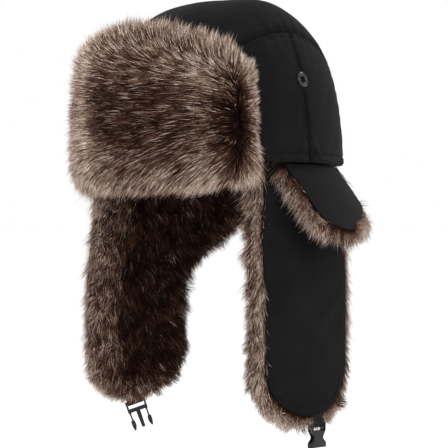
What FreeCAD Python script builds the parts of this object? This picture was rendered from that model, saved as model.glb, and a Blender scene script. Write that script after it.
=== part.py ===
"""Trapper hat: a padded crown, a fur front flap folded up, two ear flaps with rear tabs,
a neck flap, and a side-release buckle on two short straps.

Millimetres. The origin is the centre of the head opening, in the plane of the crown's hem.
+Z is up, the hat faces -Y, and the wearer's left is +X.
"""

import FreeCAD, Part
import math
import os

# Crown
CROWN_LENGTH = 232.0
CROWN_WIDTH = 200.0
CROWN_HEIGHT = 147.5
SIDE_LEAN, SIDE_FULLNESS = 1.7, 0.25  # the side walls lean in from the hem up
END_LEAN, END_FULLNESS = 3.55, 0.55  # the front and back walls stay upright for longer
CLOTH = 1.2
CROWN_WADDING = 7.0
LINING = 1.5
TOP_PANEL_WIDTH = 152.0  # over the ears
TOP_SEAM_RADIUS = 220.0  # each long seam of the top panel, seen from above

# Eyelets
EYELET_HEIGHT = 72.5
EYELET_FLANGE = 6.7
EYELET_BORE = 3.1
EYELET_WALL = 0.6
WASHER_RADIUS = 6.2

# Every flap is cloth, then wadding, then fur
FLAP_WADDING = 3.0
GAP = 0.9  # below the hem, at the flaps' sewn edges

# Front flap, folded up against the crown
FRONT_TURN = 56.0  # degrees each side of the middle
FRONT_TOP = 103.0
FRONT_BOTTOM = -12.0
FRONT_CORNER = 27.0  # how far the arched top edge falls at its ends
FRONT_FOOT_RISE = 12.0  # how far the bottom edge rises at its ends
FRONT_LEAN = 7.0  # how far the top edge leans in
FRONT_FUR = 24.0
FRONT_FUR_OVER = 10.0

# Ear flaps
EAR_WIDTH = 107.0
EAR_DROP = 216.0
RIGHT_EAR_DROP = 204.0  # this flap hangs a little shorter
EAR_END = 43.0  # height of its half-oval end
EAR_HANG = 112.0  # half the distance between the hanging flaps
EAR_BOW = 300.0  # radius of its bow, front to back
EAR_SETTLE = 115.0  # the flap leaves the oval of the hem over this drop
EAR_TOP_MIDDLE, EAR_LOW_MIDDLE = 12.0, -13.0  # it sweeps forward on the way down
EAR_INSET = 8.0
EAR_FUR = 21.0
EAR_FUR_OVER = 4.0

# Rear tabs and neck flap, which flare out from under the hem
SKIRT_INSET = 3.0
SKIRT_FLARE = 0.58
SKIRT_WADDING = 1.2
SKIRT_FUR_ROOT = 4.2
SKIRT_FUR_SLOPE = 0.2
TAB_DROP = 57.0
TAB_FRONT, TAB_REAR = 75.3, 111.5  # degrees round the hem, from the front
TAB_FRONT_SWEEP, TAB_REAR_SWEEP = 9.0, 22.0  # how far its edges sweep back lower down
TAB_FRONT_CORNER, TAB_REAR_CORNER = 12.0, 33.0  # how far its rounded corners come in
NECK_DROP = 50.0
NECK_TURN = 36.0  # degrees each side of the back
SKIRT_FUR_OVER = 7.0

# Straps and buckle
WEBBING = 15.0
PLY = 1.1
BAR_RADIUS = 1.1
LOOP_PLAY = 0.2
STRAP_GAP = 1.4  # below the flap's end
LEFT_STRAP_Y, RIGHT_STRAP_Y = -3.5, -9.0
LEFT_STRAP_RUN, RIGHT_STRAP_RUN = 7.0, 14.0  # from the flap's end to the bar
BUCKLE_WIDTH = 19.0
BUCKLE_THICK = 6.0
RAIL = 1.7
SLOT = 5.6
SOCKET_LENGTH = 21.5
SOCKET_WAIST = 6.3
SOCKET_MOUTH = 10.0
PLUG_TURN = 48.0
PLUG_TILT = 19.8
PLUG_FRAME = 10.5
PLUG_THICK = 4.2
ARM_LENGTH = 17.0
ARM_STEM = 1.4
ARM_LOBE = 3.8
ARM_THICK = 3.2
KNUCKLE = 1.2
KNUCKLE_PLAY = 0.1
GUIDE_WIDTH = 3.0

HALF_LENGTH = CROWN_LENGTH / 2
HALF_WIDTH = CROWN_WIDTH / 2
LEVELS = (0, 0.1, 0.22, 0.34, 0.46, 0.58, 0.69, 0.79, 0.87, 0.93, 0.965, 0.985, 0.995)
RING_POINTS = 24
BIG = 400.0

V = FreeCAD.Vector
UP = V(0, 0, 1)
LEFT = V(1, 0, 0)
BACK = V(0, 1, 0)


def smooth(share):
    share = min(max(share, 0.0), 1.0)
    return share * share * (3 - 2 * share)


def box(low, high):
    size = high - low
    return Part.makeBox(size.x, size.y, size.z, low)


def save(name, shape):
    shape.exportStep(f"parts/{name}.step")


def mirrored(shape):
    return shape.mirror(V(0, 0, 0), LEFT)


# ---------------------------------------------------------------- crown


def side_share(level):
    return (1 - level**SIDE_LEAN) ** SIDE_FULLNESS


def end_share(level):
    return (1 - level**END_LEAN) ** END_FULLNESS


def ring(wide, long, height):
    curve = Part.BSplineCurve()
    turns = [2 * math.pi * i / RING_POINTS for i in range(RING_POINTS)]
    points = [V(wide * math.sin(a), -long * math.cos(a), height) for a in turns]
    curve.interpolate(points, PeriodicFlag=True)
    return Part.Wire([curve.toShape()])


def dome(inset):
    """The crown's outer form, made smaller all round by inset."""
    rings = [
        ring(
            (HALF_WIDTH - inset) * side_share(level),
            (HALF_LENGTH - inset) * end_share(level),
            (CROWN_HEIGHT - inset) * level,
        )
        for level in LEVELS
    ]
    return Part.makeLoft(rings, True)


def seam_column(side):
    """An upright cylinder whose near side is a long seam of the top panel."""
    centre = V(side * (TOP_PANEL_WIDTH / 2 - TOP_SEAM_RADIUS), 0, -5)
    return Part.makeCylinder(TOP_SEAM_RADIUS, CROWN_HEIGHT + 10, centre)


def eyelet_place():
    """The eyelet's seat on the left side seam: its own Z axis points out of the cloth."""
    height, step = EYELET_HEIGHT, 0.5
    here = HALF_WIDTH * side_share(height / CROWN_HEIGHT)
    above = HALF_WIDTH * side_share((height + step) / CROWN_HEIGHT)
    outward = V(step, 0, here - above)
    return FreeCAD.Placement(V(here, 0, height), FreeCAD.Rotation(UP, outward))


def turned(outline):
    """A ring turned about Z from its (radius, height) outline."""
    points = [V(r, 0, z) for r, z in outline]
    return Part.Face(Part.makePolygon(points + points[:1])).revolve(V(0, 0, 0), UP, 360)


def eyelet():
    barrel = EYELET_BORE + EYELET_WALL
    foot = -2.6
    return turned(
        [
            (EYELET_BORE, foot),
            (barrel + 0.9, foot),
            (barrel + 0.9, foot + 0.4),
            (barrel, foot + 0.5),
            (barrel, 0.05),
            (EYELET_FLANGE, 0.05),
            (EYELET_FLANGE, 0.5),
            (EYELET_FLANGE - 1.1, 1.2),
            (EYELET_BORE + 0.9, 1.2),
            (EYELET_BORE, 0.6),
        ]
    )


def washer():
    inner = EYELET_BORE + EYELET_WALL + 0.1
    return turned([(inner, -2.05), (WASHER_RADIUS, -2.05), (WASHER_RADIUS, -1.5), (inner, -1.5)])


def make_crown():
    outer, inner = dome(0), dome(CLOTH)
    padded, lined = dome(CLOTH + CROWN_WADDING), dome(CLOTH + CROWN_WADDING + LINING)
    shell = outer.cut(inner)
    wadding = inner.cut(padded)
    lining = padded.cut(lined)
    seat = eyelet_place()
    hole = Part.makeCylinder(EYELET_BORE + EYELET_WALL + 0.1, 12, V(0, 0, -6))
    pocket = Part.makeCylinder(WASHER_RADIUS + 0.4, 5, V(0, 0, -3.2))
    for cutter in (hole, pocket):
        cutter.Placement = seat
    save("crown_top_panel", shell.common(seam_column(1)).common(seam_column(-1)))
    left = shell.common(box(V(0, -BIG, -BIG), V(BIG, BIG, BIG))).cut(seam_column(1)).cut(hole)
    front_half = box(V(-BIG, -BIG, -BIG), V(BIG, 0, BIG))
    for name, panel in (
        ("front_side_panel", left.common(front_half)),
        ("rear_side_panel", left.cut(front_half)),
    ):
        save(f"left_{name}", panel)
        save(f"right_{name}", mirrored(panel))
    save("crown_wadding", wadding.cut(pocket).cut(mirrored(pocket)))
    save("crown_lining", lining)
    for name, piece in (("eyelet", eyelet()), ("eyelet_washer", washer())):
        piece.Placement = seat
        save(f"left_{name}", piece)
        save(f"right_{name}", mirrored(piece))


# ---------------------------------------------------------------- flaps


def surface(point, columns, rows, depth):
    grid = [
        [point(i / columns, j / rows, depth) for j in range(rows + 1)]
        for i in range(columns + 1)
    ]
    skin = Part.BSplineSurface()
    skin.interpolate(grid)
    return skin


def layer(point, columns, rows, inner, outer):
    """A closed solid between two depths of a curved sheet, given as point(u, v, depth)."""
    skins = [surface(point, columns, rows, depth) for depth in (inner, outer)]
    faces = [skin.toShape() for skin in skins]
    for end in (0, 1):
        for iso in ("uIso", "vIso"):
            edges = [getattr(skin, iso)(end).toShape() for skin in skins]
            faces.append(Part.makeRuledSurface(*edges))
    shell = Part.makeShell(faces)
    shell.sewShape()
    solid = Part.makeSolid(shell)
    if solid.Volume < 0:
        solid.reverse()
    return solid


def save_flap(name, layers, side=1):
    """Saves a flap's cloth, wadding and fur, mirrored to the wearer's right if side is -1."""
    for suffix, solid in zip(("shell", "wadding", "fur"), layers):
        save(f"{name}_{suffix}", solid if side > 0 else mirrored(solid))


def front_flap_point(over):
    """Points of the front flap: u from its right end to its left, v up, depth outwards."""
    turn_over = math.degrees(over / HALF_LENGTH) * 0.4

    def point(u, v, depth):
        along = 2 * u - 1
        turn = math.radians(along * (FRONT_TURN + turn_over))
        low = FRONT_BOTTOM - over + (FRONT_FOOT_RISE + 0.4 * over) * along**6
        high = FRONT_TOP + over - (FRONT_CORNER + 0.4 * over) * along**2
        height = low + (high - low) * v
        lean = FRONT_LEAN * (max(height, 0) / FRONT_TOP) ** 3
        wide = HALF_WIDTH + 1 + depth - lean
        long = HALF_LENGTH + 1 + depth - lean
        return V(wide * math.sin(turn), -long * math.cos(turn), height)

    return point


def make_front_flap():
    cloth, fur = front_flap_point(0), front_flap_point(FRONT_FUR_OVER)
    backing = CLOTH + FLAP_WADDING
    save_flap(
        "front_flap",
        (
            layer(cloth, 12, 6, 0, CLOTH),
            layer(cloth, 12, 6, CLOTH, backing),
            layer(fur, 12, 6, backing + 0.1, backing + FRONT_FUR),
        ),
    )


def ear_flap_surface(along, drop, depth):
    """A point of the left ear flap: along is from its middle line, depth towards the head."""
    settled = smooth(drop / EAR_SETTLE)
    y = along + EAR_TOP_MIDDLE + (EAR_LOW_MIDDLE - EAR_TOP_MIDDLE) * settled
    wide, long = HALF_WIDTH - EAR_INSET, HALF_LENGTH - EAR_INSET
    sewn = wide * math.sqrt(1 - (y / long) ** 2)
    hanging = EAR_HANG - along**2 / (2 * EAR_BOW)
    return V(sewn + (hanging - sewn) * settled - depth, y, -GAP - drop)


def ear_flap_point(flap_drop, over):
    """Points of a left ear flap: u from front to rear, v down, its lower end a half oval."""
    half = EAR_WIDTH / 2 + over
    end = EAR_END + over
    straight = flap_drop + over - end
    curve_from = 0.55

    def point(u, v, depth):
        along = 2 * u - 1
        if v <= curve_from:
            return ear_flap_surface(along * half, straight * v / curve_from, depth)
        turn = math.radians(82) * (v - curve_from) / (1 - curve_from)
        drop = straight + end * math.sin(turn) / math.sin(math.radians(82))
        return ear_flap_surface(along * half * math.cos(turn), drop, depth)

    return point


def make_ear_flap(name, drop, side):
    cloth, fur = ear_flap_point(drop, 0), ear_flap_point(drop, EAR_FUR_OVER)
    backing = CLOTH + FLAP_WADDING
    layers = (
        layer(cloth, 8, 16, 0, CLOTH),
        layer(cloth, 8, 16, CLOTH, backing),
        layer(fur, 8, 16, backing + 0.1, backing + EAR_FUR),
    )
    save_flap(name, layers, side)


def tab_edges(v):
    """The rear tab's front and rear edges in degrees, a share v of the way down."""
    sweep = v * (2 - v)
    front = TAB_FRONT + TAB_FRONT_SWEEP * sweep + TAB_FRONT_CORNER * v**10
    rear = TAB_REAR + TAB_REAR_SWEEP * sweep - TAB_REAR_CORNER * smooth((v - 0.55) / 0.45)
    return front, rear


def neck_edges(v):
    half = NECK_TURN - 3 * v - 6 * v**8
    return 180 - half, 180 + half


def skirt_point(edges, drop, over):
    """Points of a flap that flares from the hem: u round the hem, v down, depth inwards.

    The fur's inner side, asked for with a large depth, is thicker lower down.
    """
    reach = math.degrees(over / HALF_LENGTH)
    full = drop + 0.8 * over

    def point(u, v, depth):
        first, last = edges(v)
        first, last = first - reach, last + reach
        turn = math.radians(first + (last - first) * u)
        below = full * v
        thick = depth
        if depth > CLOTH + SKIRT_WADDING + 1:
            thick = SKIRT_FUR_ROOT + SKIRT_FUR_SLOPE * below
        out = SKIRT_FLARE * below - SKIRT_INSET - thick
        wide, long = HALF_WIDTH + out, HALF_LENGTH + out
        return V(wide * math.sin(turn), -long * math.cos(turn), -GAP - below)

    return point


def skirt_layers(edges, drop):
    cloth, fur = skirt_point(edges, drop, 0), skirt_point(edges, drop, SKIRT_FUR_OVER)
    backing = CLOTH + SKIRT_WADDING
    return (
        layer(cloth, 8, 14, 0, CLOTH),
        layer(cloth, 8, 14, CLOTH, backing),
        layer(fur, 8, 14, backing + 0.1, BIG),
    )


# ---------------------------------------------------------------- straps and buckle


def plate(outline, thick):
    """A flat piece in the XZ plane, thick along Y and centred on it."""
    points = [V(x, -thick / 2, z) for x, z in outline]
    return Part.Face(Part.makePolygon(points + points[:1])).extrude(V(0, thick, 0))


def rod(radius, length, x=0.0, z=0.0, along=LEFT):
    start = V(x, 0, z) - along * (length / 2)
    return Part.makeCylinder(radius, length, start, along)


def softened(shape, radius, picked):
    """The shape with the picked edges rounded."""
    return shape.makeFillet(radius, [edge for edge in shape.Edges if picked(edge)])


def buckle_head(body):
    """Cuts the strap slot under the bar, at the origin, and adds the bar."""
    slot_half = BUCKLE_WIDTH / 2 - RAIL
    top = BAR_RADIUS + 0.1
    slot = box(V(-slot_half, -BIG, BAR_RADIUS - SLOT - 1), V(slot_half, BIG, top + 5))
    return body.cut(slot).fuse(rod(BAR_RADIUS, BUCKLE_WIDTH - RAIL)).removeSplitter()


def buckle_socket():
    """The socket hangs from its bar at the origin: width along X, thick along Y."""
    half, low = BUCKLE_WIDTH / 2, BAR_RADIUS + 0.4 - SOCKET_LENGTH
    right_side = [
        (half, BAR_RADIUS + 0.4),
        (half, -5.5),
        (SOCKET_WAIST, -10.5),
        (SOCKET_WAIST, -12.0),
        (SOCKET_MOUTH, -15.5),
        (SOCKET_MOUTH, low),
    ]
    left_side = [(-x, z) for x, z in reversed(right_side)]
    body = plate(right_side + left_side, BUCKLE_THICK)
    body = softened(body, 1.6, lambda edge: abs(edge.tangentAt(edge.FirstParameter).y) < 0.1)
    cavity = box(V(-8.4, -1.9, low - 1), V(8.4, 1.9, -7.2))
    windows = box(V(-BIG, -1.9, -13.6), V(BIG, 1.9, -9.4))
    return buckle_head(body).cut(cavity).cut(windows)


def plug_frame():
    """The plug's ladder frame and guide bar, hanging from its bar at the origin."""
    half, base = BUCKLE_WIDTH / 2, BAR_RADIUS + 0.4 - PLUG_FRAME
    frame = plate([(half, 1.5), (half, base), (-half, base), (-half, 1.5)], PLUG_THICK)
    frame = softened(frame, 0.8, lambda edge: abs(edge.tangentAt(edge.FirstParameter).z) > 0.9)
    guide = plate(
        [
            (GUIDE_WIDTH / 2 + 0.5, base + 0.5),
            (GUIDE_WIDTH / 2, base - ARM_LENGTH + 1),
            (-GUIDE_WIDTH / 2, base - ARM_LENGTH + 1),
            (-GUIDE_WIDTH / 2 - 0.5, base + 0.5),
        ],
        ARM_THICK,
    )
    frame = buckle_head(frame).fuse(guide).removeSplitter()
    for side in (-1, 1):
        seat = rod(KNUCKLE + KNUCKLE_PLAY, BIG, side * (half - 1.5), base, BACK)
        frame = frame.cut(seat)
    return frame


def plug_arm(side):
    """One sprung arm, with the knuckle that seats in the frame's corner."""
    base = BAR_RADIUS + 0.4 - PLUG_FRAME
    x = BUCKLE_WIDTH / 2 - 1.5
    stem = ARM_STEM / 2
    tip = base - ARM_LENGTH
    outline = [
        (x - stem, base),
        (x - stem, base - 6.5),
        (x - stem - 1.2, base - 9.0),
        (x - stem - 1.2, tip + 4.0),
        (x - stem + 0.4, tip),
        (x + stem + 0.2, tip),
        (x - stem - 1.2 + ARM_LOBE, tip + 4.5),
        (x - stem - 1.2 + ARM_LOBE, base - 8.0),
        (x + stem, base - 7.0),
        (x + stem, base),
    ]
    arm = plate([(side * px, pz) for px, pz in outline], ARM_THICK)
    return arm.fuse(rod(KNUCKLE, ARM_THICK, side * x, base, BACK)).removeSplitter()


def hung(shape, place):
    shape = shape.copy()
    shape.Placement = place
    return shape


def section(place, half_thick):
    half = WEBBING / 2
    corners = [(-half, -half_thick), (half, -half_thick), (half, half_thick), (-half, half_thick)]
    points = [place.multVec(V(x, y, 0)) for x, y in corners]
    return Part.makePolygon(points + points[:1])


def strap(top, bar):
    """Doubled webbing from the flap's end round the bar: two plies, turned on the way."""
    inner, outer = BAR_RADIUS + LOOP_PLAY, BAR_RADIUS + LOOP_PLAY + PLY
    steps = 5
    run_end = bar.multiply(FreeCAD.Placement(V(0, 0, 1.6), FreeCAD.Rotation()))
    places = []
    for i in range(steps + 1):
        share = i / steps
        base = top.Base + (run_end.Base - top.Base) * share
        places.append(FreeCAD.Placement(base, top.Rotation.slerp(run_end.Rotation, smooth(share))))
    thick = [PLY + (outer - PLY) * smooth(i / steps) for i in range(steps + 1)]
    run = Part.makeLoft([section(p, t) for p, t in zip(places, thick)], True, True)
    loop = rod(outer, WEBBING)
    loop = loop.fuse(box(V(-WEBBING / 2, -outer, 0), V(WEBBING / 2, outer, 1.6)))
    loop = loop.cut(rod(inner, WEBBING + 1))
    return run.fuse(hung(loop, bar)).removeSplitter()


def strap_places(drop, side, strap_y, strap_run, turn, tilt):
    """Where a strap leaves its flap and where its bar lies: width along each place's X."""
    start = ear_flap_surface(strap_y - EAR_LOW_MIDDLE, drop, PLY + 0.1)
    top = FreeCAD.Placement(
        V(side * start.x, start.y, start.z - STRAP_GAP),
        FreeCAD.Rotation(UP, 90),
    )
    facing = FreeCAD.Rotation(UP, 90 - turn)
    swing = FreeCAD.Rotation(V(0, 1, 0), -tilt)
    turned_by = facing.multiply(swing)
    bar_at = top.Base + turned_by.multVec(V(0, 0, -strap_run))
    return top, FreeCAD.Placement(bar_at, turned_by)


def make_straps():
    left_top, left_bar = strap_places(EAR_DROP, 1, LEFT_STRAP_Y, LEFT_STRAP_RUN, 0, 0)
    right_top, right_bar = strap_places(
        RIGHT_EAR_DROP, -1, RIGHT_STRAP_Y, RIGHT_STRAP_RUN, PLUG_TURN, PLUG_TILT
    )
    save("left_strap", strap(left_top, left_bar))
    save("right_strap", strap(right_top, right_bar))
    save("buckle_socket", hung(buckle_socket(), left_bar))
    save("buckle_plug_frame", hung(plug_frame(), right_bar))
    save("buckle_plug_front_arm", hung(plug_arm(-1), right_bar))
    save("buckle_plug_rear_arm", hung(plug_arm(1), right_bar))


def main():
    os.makedirs("parts", exist_ok=True)
    make_crown()
    make_front_flap()
    make_ear_flap("left_ear_flap", EAR_DROP, 1)
    make_ear_flap("right_ear_flap", RIGHT_EAR_DROP, -1)
    for name, side in (("left_rear_tab", 1), ("right_rear_tab", -1)):
        save_flap(name, skirt_layers(tab_edges, TAB_DROP), side)
    save_flap("neck_flap", skirt_layers(neck_edges, NECK_DROP))
    make_straps()


main()
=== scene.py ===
"""Trapper hat: woven crown, faux fur flaps, webbing straps and a side-release buckle."""

import math

import bmesh
import bpy
import numpy as np
from mathutils import Matrix, Quaternion, Vector, kdtree


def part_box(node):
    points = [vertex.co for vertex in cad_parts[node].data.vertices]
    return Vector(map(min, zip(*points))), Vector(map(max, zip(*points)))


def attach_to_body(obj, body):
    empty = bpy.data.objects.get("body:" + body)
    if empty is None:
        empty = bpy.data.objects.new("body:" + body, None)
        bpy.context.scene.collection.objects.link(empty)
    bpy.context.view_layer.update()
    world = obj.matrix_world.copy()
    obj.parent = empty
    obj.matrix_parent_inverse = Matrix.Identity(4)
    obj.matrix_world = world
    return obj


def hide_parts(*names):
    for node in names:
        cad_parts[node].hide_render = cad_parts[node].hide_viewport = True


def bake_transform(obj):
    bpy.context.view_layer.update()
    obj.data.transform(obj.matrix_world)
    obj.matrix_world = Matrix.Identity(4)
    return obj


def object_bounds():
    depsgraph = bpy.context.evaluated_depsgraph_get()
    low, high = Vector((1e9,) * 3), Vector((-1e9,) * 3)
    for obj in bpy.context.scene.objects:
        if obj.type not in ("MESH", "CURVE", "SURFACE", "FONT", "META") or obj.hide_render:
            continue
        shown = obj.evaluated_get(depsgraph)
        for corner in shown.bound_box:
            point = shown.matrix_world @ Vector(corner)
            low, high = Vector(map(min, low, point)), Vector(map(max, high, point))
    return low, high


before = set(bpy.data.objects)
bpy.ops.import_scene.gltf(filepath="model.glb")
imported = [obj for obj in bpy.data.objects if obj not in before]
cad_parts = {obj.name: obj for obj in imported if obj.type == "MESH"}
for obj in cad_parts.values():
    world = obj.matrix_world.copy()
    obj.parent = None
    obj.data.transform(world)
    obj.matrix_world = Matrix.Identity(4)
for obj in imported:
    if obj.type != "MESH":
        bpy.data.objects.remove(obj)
CAD_BOUNDS = [list(corner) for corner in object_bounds()]
DRAW = np.random.default_rng(20)
uniform = DRAW.uniform

MM = 0.001
SIDES = {"left": 1, "right": -1}

# The crown's oval and height come from the frame, and its profile repeats the design's.
HALF_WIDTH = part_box("left_front_side_panel")[1].x
HALF_LENGTH = -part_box("crown_top_panel")[0].y
CROWN_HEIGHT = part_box("crown_top_panel")[1].z + 0.7 * MM
SIDE_LEAN, SIDE_FULLNESS = 1.7, 0.25
END_LEAN, END_FULLNESS = 3.55, 0.55
CLOTH = 1.2 * MM
CROWN_WADDING = 7.0 * MM
LINING = 1.5 * MM
SEAM_RADIUS = 220 * MM
SEAM_REACH = 76 * MM
EYELET_HEIGHT = 72.5 * MM
HEM_STITCH = 7.5 * MM
PEAK = 0.99999  # just short of the crown's very top, where its lines meet

# The flaps' surfaces
GAP = 0.9 * MM
BACKING = 4.2 * MM  # cloth and wadding behind the fur
FRONT_TURN = 56.0  # degrees from the middle of the flap to each end
FRONT_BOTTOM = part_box("front_flap_shell")[0].z
FRONT_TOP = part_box("front_flap_shell")[1].z
FRONT_CORNER = 27 * MM
FRONT_FOOT_RISE = 12 * MM
FRONT_LEAN = 7 * MM
EAR_HALF = 53.5 * MM
EAR_DROP = {side: -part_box(f"{side}_ear_flap_shell")[0].z - GAP for side in SIDES}
EAR_END = 43 * MM
EAR_HANG = 112 * MM
EAR_BOW = 300 * MM
EAR_SETTLE = 115 * MM
EAR_MIDDLES = (12 * MM, -13 * MM)
EAR_INSET = 8 * MM
WEB_END, WEB_FADE = 105 * MM, 70 * MM
SKIRT_INSET = 3 * MM
SKIRT_FLARE = 0.58
TAB_FRONT, TAB_REAR = 75.3, 111.5
TAB_FRONT_SWEEP, TAB_REAR_SWEEP = 9, 22
TAB_FRONT_CORNER, TAB_REAR_CORNER = 12, 33
NECK_HALF, NECK_TAPER, NECK_CORNER = 36, 3, 6
TAB_DROP = 57 * MM
NECK_DROP = 50 * MM

# Straps: the webbing runs from the flap's end round the buckle's bar.
WEBBING_WIDTH = 15 * MM
PLY = 1.1 * MM
BAR_RADIUS = 1.1 * MM
STRAP_GAP = 1.4 * MM
STRAP_Y = {"left": -3.5 * MM, "right": -9.0 * MM}
STRAP_RUN = {"left": 7.0 * MM, "right": 14.0 * MM}
STRAP_TURN = {"left": 0.0, "right": 48.0}
STRAP_TILT = {"left": 0.0, "right": 19.8}

# Pile: each hair is a tapered three-sided spike.
STRAND_RINGS = (0.0, 0.3, 0.65)
STRAND_GIRTH = (1.0, 0.9, 0.65)
STRAND_DROOP = 0.12
PIECE_TRIANGLES = 195000
STREAK_CELL = 1.9 * MM
STREAKS = 4099
# How the fur leaves each ear flap: its front edge's hang and its reach towards the nape
EAR_FUR_HANG = {"left": (0.0, 0.0), "right": (0.75, 30 * MM)}

SETTLING_FRAMES = 16
DOWN = np.array((0.0, 0.0, -1.0))

# --- materials

def principled(name, roughness, **inputs):
    """A material with its Principled shader, for the callers to colour."""
    material = bpy.data.materials.new(name)
    material.use_nodes = True
    shader = material.node_tree.nodes["Principled BSDF"]
    shader.inputs["Roughness"].default_value = roughness
    for key, value in inputs.items():
        shader.inputs[key.replace("_", " ")].default_value = value
    return material, material.node_tree, shader

def node(tree, kind, links=(), **values):
    """Adds a node: values set its properties or sockets, links feed its sockets."""
    made = tree.nodes.new(kind)
    for key, value in values.items():
        if hasattr(made, key):
            setattr(made, key, value)
        else:
            made.inputs[key.replace("_", " ")].default_value = value
    for socket, source in dict(links).items():
        tree.links.new(source, made.inputs[socket])
    return made

def noise(tree, **values):
    """A noise texture's value at each point of a piece."""
    place = node(tree, "ShaderNodeTexCoord").outputs["Object"]
    return node(tree, "ShaderNodeTexNoise", {"Vector": place}, **values).outputs["Fac"]

def tint(tree, shader, factor, *stops):
    """Colours the shader by a ramp of (place, colour) stops."""
    made = node(tree, "ShaderNodeValToRGB", {"Fac": factor})
    elements = made.color_ramp.elements
    for element, (place, colour) in zip(elements, (stops[0], stops[-1])):
        element.position = place
        element.color = (*colour, 1)
    tree.links.new(made.outputs["Color"], shader.inputs["Base Color"])

def roughen(tree, shader, factor, low, high):
    rough = node(tree, "ShaderNodeMapRange", {"Value": factor}, To_Min=low, To_Max=high)
    tree.links.new(rough.outputs[0], shader.inputs["Roughness"])

def bump(tree, shader, height, distance, strength=1.0):
    made = node(tree, "ShaderNodeBump", {"Height": height}, Distance=distance, Strength=strength)
    tree.links.new(made.outputs["Normal"], shader.inputs["Normal"])

def maths(tree, operation, first, second):
    made = node(tree, "ShaderNodeMath", operation=operation)
    for socket, value in zip(made.inputs, (first, second)):
        if isinstance(value, (int, float)):
            socket.default_value = value
        else:
            tree.links.new(value, socket)
    return made.outputs[0]

def weave(tree, thread):
    """Height of a plain weave: threads across each axis that lies along the surface."""
    point = node(tree, "ShaderNodeTexCoord").outputs
    parts = node(tree, "ShaderNodeSeparateXYZ", {"Vector": point["Normal"]}).outputs
    scaled = node(
        tree, "ShaderNodeVectorMath", {0: point["Object"]}, operation="SCALE", Scale=1 / thread
    ).outputs[0]
    total = 0.0
    for axis, part in zip("XYZ", parts):
        wave = node(
            tree, "ShaderNodeTexWave", {"Vector": scaled},
            bands_direction=axis, Scale=0.314, Distortion=0.4, Detail=1.0,
        ).outputs["Fac"]
        along = maths(tree, "SUBTRACT", 1.0, maths(tree, "ABSOLUTE", part, 0.0))
        total = maths(tree, "ADD", total, maths(tree, "MULTIPLY", wave, along))
    return total

def cloth_material(name, dark, light, thread, roughness, scale=26.0):
    """Woven cloth: mottled colour, a fine weave and soft creasing."""
    material, tree, shader = principled(name, roughness, Specular_IOR_Level=0.05)
    mottle = noise(tree, Scale=scale, Detail=8.0, Roughness=0.62)
    tint(tree, shader, mottle, (0.3, dark), (0.72, light))
    creases = noise(tree, Scale=90.0, Detail=6.0, Roughness=0.6)
    height = maths(tree, "ADD", weave(tree, thread), creases)
    bump(tree, shader, height, 0.00025, 0.5)
    roughen(tree, shader, mottle, roughness - 0.08, roughness + 0.1)
    return material

def fluff_material(name, dark, light, scale):
    """Matted fibres, for the underfur and the wadding."""
    material, tree, shader = principled(name, 0.95, Specular_IOR_Level=0.08)
    fibres = noise(tree, Scale=scale, Detail=9.0, Roughness=0.75, Distortion=1.2)
    tint(tree, shader, fibres, (0.32, dark), (0.7, light))
    bump(tree, shader, fibres, 0.003)
    return material

def plastic_material():
    material, tree, shader = principled("buckle_plastic", 0.42, Specular_IOR_Level=0.3)
    grain = noise(tree, Scale=900.0, Detail=4.0)
    tint(tree, shader, grain, (0.3, (0.004, 0.004, 0.0045)), (0.75, (0.010, 0.010, 0.011)))
    bump(tree, shader, grain, 0.0001, 0.4)
    return material

def metal_material():
    """Black enamelled metal, slightly worn."""
    material, tree, shader = principled("eyelet_metal", 0.12, Metallic=0.1)
    wear = noise(tree, Scale=420.0, Detail=5.0)
    tint(tree, shader, wear, (0.35, (0.004, 0.004, 0.0045)), (0.8, (0.016, 0.016, 0.017)))
    roughen(tree, shader, wear, 0.06, 0.16)
    return material

def webbing_material():
    """Ribbed black webbing."""
    material, tree, shader = principled("webbing", 0.75, Specular_IOR_Level=0.12)
    ribs = weave(tree, 0.0011)
    tint(tree, shader, ribs, (0.2, (0.003, 0.003, 0.0035)), (1.0, (0.012, 0.012, 0.013)))
    bump(tree, shader, ribs, 0.0005, 0.9)
    return material

# A hair's middle and tip each take one of these, from dark through brown and tan to cream.
ROOT_COLOUR = (0.009, 0.0038, 0.0027)
MIDDLE_COLOURS = (
    (0.010, 0.0042, 0.0030),
    (0.021, 0.0080, 0.0053),
    (0.042, 0.0162, 0.0103),
    (0.090, 0.0410, 0.0268),
    (0.180, 0.1000, 0.0690),
    (0.310, 0.2030, 0.1500),
)
TIP_COLOURS = (
    (0.014, 0.0056, 0.0038),
    (0.038, 0.0142, 0.0092),
    (0.098, 0.0415, 0.0265),
    (0.235, 0.1320, 0.0900),
    (0.480, 0.3400, 0.2600),
    (0.800, 0.6700, 0.5700),
)

def hair_materials():
    made = []
    for name, colour in (
        ("hair_root", ROOT_COLOUR),
        *((f"hair_middle_{i}", c) for i, c in enumerate(MIDDLE_COLOURS)),
        *((f"hair_tip_{i}", c) for i, c in enumerate(TIP_COLOURS)),
    ):
        material, _, shader = principled(name, 0.6, Specular_IOR_Level=0.05)
        shader.inputs["Base Color"].default_value = (*colour, 1)
        made.append(material)
    return made

SHELL = cloth_material(
    "shell_cloth", (0.0035, 0.0036, 0.0040), (0.0085, 0.0086, 0.0095), 0.0007, 0.7
)
LINING_CLOTH = cloth_material(
    "lining_cloth", (0.004, 0.004, 0.0045), (0.011, 0.011, 0.012), 0.0004, 0.42, 60.0
)
STITCHING = cloth_material(
    "stitching", (0.006, 0.006, 0.0065), (0.016, 0.016, 0.017), 0.0004, 0.6
)
UNDERFUR = fluff_material("underfur", (0.006, 0.0033, 0.0026), (0.034, 0.0180, 0.0130), 220.0)
PADDING = fluff_material("wadding", (0.55, 0.54, 0.51), (0.82, 0.81, 0.78), 160.0)
PLASTIC = plastic_material()
METAL = metal_material()
WEBBING = webbing_material()
HAIR = hair_materials()

# --- mesh tools

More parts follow.
